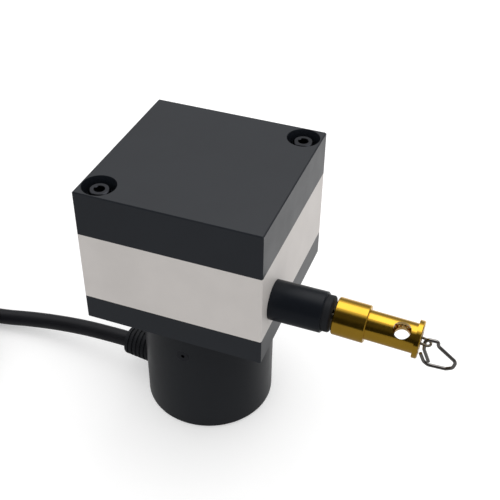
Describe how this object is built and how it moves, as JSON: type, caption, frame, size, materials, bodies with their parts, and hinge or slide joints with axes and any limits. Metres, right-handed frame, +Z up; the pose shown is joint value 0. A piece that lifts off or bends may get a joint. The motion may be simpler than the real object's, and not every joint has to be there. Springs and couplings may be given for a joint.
{
  "type": "draw wire encoder",
  "caption": "Square draw wire box on a round rotary encoder, with a nozzle, a gold wire end with a cross hole, a snap clip and a signal cable.",
  "frame": {"origin": "centre of the encoder's flat back, on the drum's axis", "axes": "+Z up the drum axis towards the cover, +X the way the draw wire leaves the nozzle"},
  "size_m": [0.1996, 0.0854, 0.0815],
  "materials": {
    "black_anodised": "satin black anodised",
    "silver_anodised": "satin natural anodised",
    "gold_anodised": "bright gold anodised",
    "turned_aluminium": "turned",
    "screw_steel": "plated",
    "bearing_steel": "ground",
    "spring_steel": "blued strip",
    "rope_steel": "stranded stainless rope",
    "clip_steel": "bright bent wire",
    "bush_bronze": "sintered",
    "hub_brass": "turned",
    "nozzle_black": "semi-gloss black anodised",
    "rubber_black": "matt",
    "felt_white": "pressed felt",
    "guide_ceramic": "ground ceramic",
    "can_black": "satin black",
    "disc_glass": "chromed glass",
    "board_green": "solder mask",
    "chip_black": "moulded",
    "plug_white": "moulded",
    "jacket_black": "satin jacket",
    "core_colours": "coloured insulation, tinned ends"
  },
  "bodies": {
    "housing": {"base_plate": "black_anodised", "middle_frame": "silver_anodised", "top_cover": "black_anodised", "cover_screws": "screw_steel", "spring_divider": "turned_aluminium", "power_spring": "spring_steel", "top_bush": "bush_bronze", "bearing_outer_races": "bearing_steel", "bearing_balls": "bearing_steel", "wire_nozzle": "nozzle_black", "wiper_felt": "felt_white", "guide_eyelet": "guide_ceramic", "nozzle_buffer": "rubber_black", "encoder_flange": "can_black", "encoder_can": "can_black", "can_seal": "rubber_black", "can_screws": "screw_steel", "encoder_screws": "screw_steel", "circuit_board": "board_green", "board_pillars": "hub_brass", "board_screws": "screw_steel", "reader_chip": "chip_black", "light_bridge": "chip_black", "board_plug": "plug_white", "inner_leads": "core_colours", "cable_boot": "rubber_black", "cable": "jacket_black", "cable_coil": "jacket_black", "cable_cores": "core_colours"},
    "spool": {"cable_drum": "turned_aluminium", "drum_grub_screws": "screw_steel", "wire_stop": "rope_steel", "wire_winding": "rope_steel", "main_shaft": "bearing_steel", "retaining_ring": "spring_steel", "bearing_inner_races": "bearing_steel", "disc_hub": "hub_brass", "hub_grub_screw": "screw_steel", "code_disc": "disc_glass"},
    "wire_end": {"draw_wire": "rope_steel", "end_ferrule": "gold_anodised", "wire_crimp": "turned_aluminium", "eye_crimp": "turned_aluminium", "rope_eye": "rope_steel"},
    "snap": {"snap_clip": "clip_steel"}
  },
  "joints": [
    {"name": "wire_pull", "type": "slide", "parent": "housing", "child": "wire_end", "axis": [1, 0, 0], "range_m": [0, 1], "stiffness_N_per_m": 2, "springref_m": -1.5, "deforming": ["draw_wire"]},
    {"name": "spool_spin", "type": "hinge", "parent": "housing", "child": "spool", "pos_m": [0, 0, 0], "axis": [0, 0, 1], "range_deg": [0, 3600], "deforming": ["power_spring"]},
    {"name": "snap_swing", "type": "hinge", "parent": "wire_end", "child": "snap", "pos_m": [0.06558, -0.01592, 0.05369], "axis": [0, -1, 0], "range_deg": [0, 90]}
  ],
  "couplings": [
    {"joint": "spool_spin", "follows": "wire_pull", "rad_per_m": 62.832}
  ]
}
